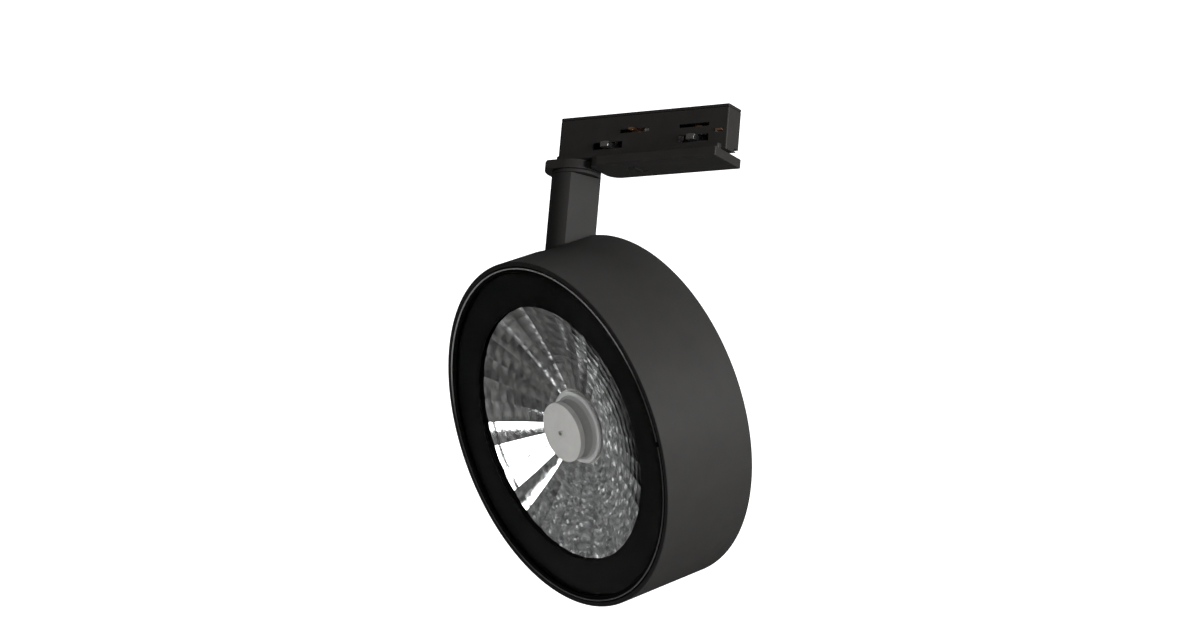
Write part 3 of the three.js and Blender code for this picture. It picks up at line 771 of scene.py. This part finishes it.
def make_cap():
    """A shallow dome with a short skirt, a gate hole at its centre and a nib beside the hole."""
    edge = CAP_RIM - 0.7
    shares = [step / 8 for step in range(9)]
    dome = [(CAP_R * share, CAP_FRONT + (edge - CAP_FRONT) * share ** 2) for share in shares]
    skirt, inner = CAP_RIM + 2.2, CAP_R - CAP_WALL
    outline = dome + [(CAP_R, skirt), (inner, skirt), (inner, CAP_RIM + 1.2), (0, CAP_RIM + 0.6)]
    cap = turned("frosted_cap", outline, MEDIUM, drum, 40)
    low, high = CAP_FRONT - 1, CAP_FRONT + GATE_DEPTH
    cut(cap, turned("gate_tool", [(0, high), (GATE_R, high), (GATE_R + 0.2, low), (0, low)], 32, drum))
    proud, foot = CAP_FRONT - 0.3, CAP_FRONT + 0.5
    spot = drum @ Matrix.Translation((NIB_X * MM, NIB_Y * MM, 0))
    weld(cap, turned("gate_nib", [(0, proud), (0.6, proud), (0.8, foot), (0, foot)], 24, spot))
    cap.visible_glossy = False
    stands_for(cap, "diffuser_cap")


def make_gate_shade_disc():
    """A dark disc in the gate hole, painted shade for the depth of the hole."""
    mark = disc("gate_shade_disc", GATE_R - 0.05, CAP_FRONT + 0.9, CAP_FRONT + 1.4, 32, drum)
    stands_for(mark, "diffuser_cap")
    # the black finish on this disc is painted shade inside the gate hole
    mark.data.materials[0] = finishes["black_plastic"]


def make_clear_optic():
    """A clear sleeve behind the cap, with a flange that flares out near its back."""
    front, back = CAP_RIM + 2.5, HOLDER_FRONT - CLEARANCE
    flange_back = OPTIC_FLANGE + OPTIC_FLANGE_T
    inner = CAP_R - OPTIC_WALL
    outline = rounded([
        (CAP_R, front), (CAP_R, OPTIC_FLANGE - 1.6), (CAP_R + 1.4, OPTIC_FLANGE + 0.3),
        (CAP_R + 2, OPTIC_FLANGE), (OPTIC_FLANGE_R, OPTIC_FLANGE), (OPTIC_FLANGE_R, flange_back),
        (CAP_R, flange_back), (CAP_R, back), (inner, back), (inner, front),
    ], [0.2, 0.8, 0.3, 0.3, 0.6, 0.5, 0.2, 0.2, 0.2, 0.2], 4)
    optic = turned("clear_collar", outline, MEDIUM, drum)
    optic.visible_glossy = False
    stands_for(optic, "clear_optic")


# ---------- stem ----------
def make_stem():
    """A bar with two flats and a round end about the tilt axle, bored for the axle and the wires."""
    bottom = PIVOT_Z - STEM_R
    outline = [(0, bottom - 1), (STEM_R, bottom - 1), (STEM_R, STEM_TOP), (0, STEM_TOP)]
    tube = turned("stem_bar", outline, FINE, stem)
    keep_inside(tube, block("flat_tool", -STEM_FLAT, STEM_FLAT, -NEAR, NEAR, bottom - 3, 5, stem))
    end = weld(cross_rod("end_tool", STEM_R, -NEAR, NEAR, 0, PIVOT_Z, stem, FINE),
               block("end_block", -NEAR, NEAR, -STEM_R - 3, STEM_R + 3, PIVOT_Z, 5, stem))
    keep_inside(tube, end)
    cut(tube, cross_rod("axle_tool", BORE_R, -NEAR, NEAR, 0, PIVOT_Z, stem))
    cut(tube, disc("bore_tool", BORE_R, PIVOT_Z + 12, 5, MEDIUM, stem))
    bevelled(tube, 0.35, 3, 35)
    stands_for(tube, "stem_tube")


def make_collar():
    top = COVER_BOTTOM - CLEARANCE
    bottom = STEM_TOP + CLEARANCE
    corners = [(BORE_R, bottom), (STEM_R, bottom), (STEM_R, top), (BORE_R, top)]
    collar = turned("stem_disc", rounded(corners, [0, 0.35, 0.35, 0], 4), FINE, stem)
    stands_for(collar, "stem_collar")


# ---------- adapter ----------
def make_pivot_housing():
    half_angle = math.degrees(math.asin(COVER_HALF / HOUSING_R))
    outline = arc(0, 0, HOUSING_R, 180 - half_angle, 180 + half_angle, 24)
    outline += arc(-0.5, 0, COVER_HALF, -90, 90, 40)
    housing = slab("adapter_round_end", outline, COVER_BOTTOM, COVER_TOP)
    bevelled(housing, 0.4, 3, 50)
    cut(housing, disc("bore_tool", BORE_R, -NEAR, NEAR, MEDIUM))
    stands_for(housing, "pivot_housing")


def rounded_rect(x0, x1, y0, y1, left, right):
    """An outline with one corner radius at its -X end and another at its +X end."""
    return (arc(x1 - right, y0 + right, right, -90, 0, 8) + arc(x1 - right, y1 - right, right, 0, 90, 8)
            + arc(x0 + left, y1 - left, left, 90, 180, 16) + arc(x0 + left, y0 + left, left, 180, 270, 16))


def make_lower_cover():
    outline = rounded_rect(COVER_START, COVER_END, -COVER_HALF, COVER_HALF, 7, 0.8)
    cover = slab("adapter_cover", outline, COVER_BOTTOM, COVER_TOP)
    bevelled(cover, 0.4, 3, 50)
    pocket = rounded_rect(COVER_START + COVER_WALL, COVER_END - COVER_WALL, -COVER_HALF + COVER_WALL,
                          COVER_HALF - COVER_WALL, 5.2, 0.5)
    cut(cover, slab("pocket_tool", pocket, COVER_BOTTOM + 1.6, COVER_TOP + 2))
    cut(cover, disc("dial_tool", DIAL_R + 0.2, -NEAR, NEAR, MEDIUM, world, SELECTOR_X, 0))
    stands_for(cover, "lower_cover")


def make_dial():
    spot = Matrix.Translation((SELECTOR_X * MM, 0, 0))
    low = COVER_BOTTOM + 0.1
    outline = rounded([(0, low), (DIAL_R, low), (DIAL_R, DIAL_TOP), (0, DIAL_TOP)], [0, 0.3, 0.2, 0], 3)
    dial = turned("circuit_dial", outline, MEDIUM, spot)
    weld(dial, block("grip_bar", -0.6, 0.6, -4, 4, COVER_BOTTOM - 0.3, low + 1, spot, 0.2))
    stands_for(dial, "selector_dial")


def make_plain_copies():
    """Flat-sided CAD pieces keep their shape and gain fine edges."""
    copies = {
        "adapter_body": ("adapter_housing", 0.3), "adapter_top_cover": ("adapter_lid", 0.3),
        "lock_lever": ("locking_lever", 0.25), "earth_contact": ("earth_strip", 0.2),
        "neutral_contact": ("neutral_finger", 0.15), "phase_contact": ("phase_finger", 0.15),
        "front_lock_shaft": ("front_lock", 0.2), "rear_lock_shaft": ("rear_lock", 0.2),
        "pivot_bracket": ("tilt_bracket", 0.3),
    }
    for node, (name, bevel) in copies.items():
        stands_for(cad_copy(node, name, bevel), node)


make_drum_wall()
make_back_cover()
make_cover_seat()
make_back_screws()
make_bezel()
make_mask()
make_glass()
make_bezel_bead()
make_reflector()
make_cap()
make_gate_shade_disc()
make_clear_optic()
make_stem()
make_collar()
make_pivot_housing()
make_lower_cover()
make_dial()
make_plain_copies()
for node, obj in frame["nodes"].items():
    if not obj.hide_render:
        dress(obj, slot_of[node])


# ---------- floor, light and camera ----------
FLOOR_DROP = 1.2         # metres from the lamp down to the floor
FLOOR_GLOW = 0.6         # keeps the floor pale to the eye without lighting the lamp


def make_floor():
    bm = bmesh.new()
    bmesh.ops.create_grid(bm, x_segments=1, y_segments=1, size=30)
    floor = from_bmesh("floor", bm)
    floor.location.z = cad_box[0][2] - FLOOR_DROP
    material, nodes, links, bsdf = shader("floor_finish", grey(0.85), 0.8)
    patches = noise(nodes, links, coordinates(nodes), 2, 3.0)
    pale = ramp(nodes, links, patches, [(0.3, grey(0.83)), (0.7, grey(0.87))])
    links.new(pale, bsdf.inputs["Base Color"])
    links.new(pale, bsdf.inputs["Emission Color"])
    path = nodes.new("ShaderNodeLightPath")
    glow = math_node(nodes, links, "MULTIPLY", path.outputs["Is Camera Ray"], FLOOR_GLOW)
    links.new(glow, bsdf.inputs["Emission Strength"])
    floor.data.materials.append(material)
    floor.visible_glossy = False
    floor.visible_transmission = False


def softbox(name, place, target, width, height, power):
    light = bpy.data.lights.new(name, "AREA")
    light.shape = "RECTANGLE"
    light.size = width
    light.size_y = height
    light.energy = power
    obj = bpy.data.objects.new(name, light)
    obj.location = place
    obj.rotation_euler = (Vector(target) - Vector(place)).to_track_quat("-Z", "Y").to_euler()
    bpy.context.scene.collection.objects.link(obj)


BACKDROP = 1.5           # brightness of the surround to the camera
ROOM_LIGHT = 0.1         # brightness of the room to everything else
ROOM_GRAIN = 9
FRONT_FILL = 5.3         # extra light from in front of the head, for matt surfaces only
FILL_FOCUS = 20          # how narrow that light is
room_shades = [(0.36, grey(0.3)), (0.5, grey(0.75, 0.02)), (0.6, grey(1.4, 0.02)), (0.7, grey(2.6, 0.02))]


def front_fill(nodes, links, way, path):
    """Strength of the light from in front of the head; none of it reaches the mirror or the glass."""
    facing = nodes.new("ShaderNodeVectorMath")
    facing.operation = "DOT_PRODUCT"
    links.new(way, facing.inputs[0])
    facing.inputs[1].default_value = -back_way
    ahead = math_node(nodes, links, "MAXIMUM", facing.outputs["Value"], 0)
    lobe = math_node(nodes, links, "POWER", ahead, FILL_FOCUS)
    matt = math_node(nodes, links, "GREATER_THAN", path.outputs["Diffuse Depth"], 0.5)
    return math_node(nodes, links, "MULTIPLY", math_node(nodes, links, "MULTIPLY", lobe, matt), FRONT_FILL)


def make_world():
    """Plain white to the camera, and a dim mottled room to everything else."""
    studio = bpy.data.worlds.new("studio")
    bpy.context.scene.world = studio
    studio.use_nodes = True
    nodes, links = studio.node_tree.nodes, studio.node_tree.links
    nodes.clear()
    seen = nodes.new("ShaderNodeBackground")
    seen.inputs["Color"].default_value = (1, 1, 1, 1)
    seen.inputs["Strength"].default_value = BACKDROP
    lit = nodes.new("ShaderNodeBackground")
    way = nodes.new("ShaderNodeTexCoord").outputs["Generated"]
    pattern = noise(nodes, links, way, ROOM_GRAIN, 6.0, 0.6)
    links.new(ramp(nodes, links, pattern, room_shades), lit.inputs["Color"])
    path = nodes.new("ShaderNodeLightPath")
    fill = front_fill(nodes, links, way, path)
    links.new(math_node(nodes, links, "ADD", fill, ROOM_LIGHT), lit.inputs["Strength"])
    mix = nodes.new("ShaderNodeMixShader")
    out = nodes.new("ShaderNodeOutputWorld")
    links.new(path.outputs["Is Camera Ray"], mix.inputs["Fac"])
    links.new(lit.outputs["Background"], mix.inputs[1])
    links.new(seen.outputs["Background"], mix.inputs[2])
    links.new(mix.outputs["Shader"], out.inputs["Surface"])


CAMERA_PLACE = Vector((0.8331, -1.2645, -0.4192))
CAMERA_YAW = 32.66       # degrees turned from +Y towards -X
CAMERA_PITCH = 12.46     # degrees looking up
CAMERA_ROLL = 4.98
LENS = 88.78


def make_camera():
    yaw, pitch, roll = (math.radians(a) for a in (CAMERA_YAW, CAMERA_PITCH, CAMERA_ROLL))
    forward = Vector((-math.sin(yaw) * math.cos(pitch), math.cos(yaw) * math.cos(pitch), math.sin(pitch)))
    level = Vector((math.cos(yaw), math.sin(yaw), 0))
    above = level.cross(forward)
    right = math.cos(roll) * level + math.sin(roll) * above
    up = -math.sin(roll) * level + math.cos(roll) * above
    data = bpy.data.cameras.new("camera")
    data.lens = LENS
    data.sensor_width = 36
    data.clip_start = 0.05
    data.clip_end = 100
    camera = bpy.data.objects.new("camera", data)
    axes = Matrix((right, up, -forward)).transposed()
    camera.matrix_world = Matrix.Translation(CAMERA_PLACE) @ axes.to_4x4()
    bpy.context.scene.collection.objects.link(camera)
    bpy.context.scene.camera = camera


def heading(azimuth, elevation):
    """A direction, with the azimuth in degrees from +Y towards +X."""
    around, up = math.radians(azimuth), math.radians(elevation)
    return Vector((math.sin(around) * math.cos(up), math.cos(around) * math.cos(up), math.sin(up)))


SECOND_BOUNCE = 0.03     # how much of a card's glow is left in a reflection of a reflection
GLASS_PASSES = 3         # a ray that went in and out through the glass has crossed more faces than this


def through_glass_once(nodes, links):
    """1 for the first reflection behind the front glass, little for later ones and 0 for the glass itself."""
    path = nodes.new("ShaderNodeLightPath")
    later = nodes.new("ShaderNodeMapRange")
    later.inputs["From Min"].default_value = 1
    later.inputs["From Max"].default_value = 2
    later.inputs["To Min"].default_value = 1
    later.inputs["To Max"].default_value = SECOND_BOUNCE
    links.new(path.outputs["Glossy Depth"], later.inputs["Value"])
    inside = math_node(nodes, links, "GREATER_THAN", path.outputs["Transmission Depth"], GLASS_PASSES)
    return math_node(nodes, links, "MULTIPLY", later.outputs["Result"], inside)


def reflection_card(name, corners, reach, strength, grain, stops):
    """A glowing card that is seen in the reflector only; its corners are headings from the head."""
    bm = bmesh.new()
    bm.faces.new([bm.verts.new(rim_centre + heading(*corner) * reach) for corner in corners])
    card = from_bmesh(name, bm)
    material = bpy.data.materials.new(name + "_glow")
    material.use_nodes = True
    nodes, links = material.node_tree.nodes, material.node_tree.links
    nodes.clear()
    glow = nodes.new("ShaderNodeEmission")
    pattern = noise(nodes, links, coordinates(nodes), grain, 3.0, 0.6)
    links.new(ramp(nodes, links, pattern, stops), glow.inputs["Color"])
    amount = math_node(nodes, links, "MULTIPLY", through_glass_once(nodes, links), strength)
    links.new(amount, glow.inputs["Strength"])
    out = nodes.new("ShaderNodeOutputMaterial")
    links.new(glow.outputs["Emission"], out.inputs["Surface"])
    card.data.materials.append(material)
    card.visible_camera = False
    card.visible_diffuse = False
    card.visible_shadow = False


bpy.context.scene.view_settings.view_transform = "Standard"
make_floor()
make_world()
make_camera()
lamp_middle = (0, 0, -0.12)
softbox("key", (2.05, -0.47, -0.06), lamp_middle, width=1.3, height=0.75, power=38)
softbox("top", (0, 0.9, 1.9), lamp_middle, width=1.2, height=1.2, power=8)
even = [(0.3, grey(0.9)), (0.7, grey(1.0))]
blotchy = [(0.42, grey(0.05)), (0.62, grey(1.0))]
speckled = [(0.42, grey(0.1)), (0.54, grey(0.22)), (0.62, grey(0.5)), (0.7, grey(2.5))]
reflection_card("large_card", [(-101.5, -21.7), (-101.5, -20.3), (-132.6, -17.5), (-132.6, -30.4)],
                reach=2.2, strength=6, grain=4, stops=even)
reflection_card("small_card", [(-92, -24), (-91, -24), (-83, -36), (-84.5, -36)],
                reach=1.6, strength=2, grain=26, stops=blotchy)
reflection_card("right_card", [(-90, -15), (-90, 4), (-42, 6), (-42, -16)],
                reach=2.4, strength=0.85, grain=20, stops=speckled)
reflection_card("lower_card", [(-135, -14), (-135, 3), (-90, 3), (-90, -14)],
                reach=2.4, strength=0.65, grain=20, stops=speckled)
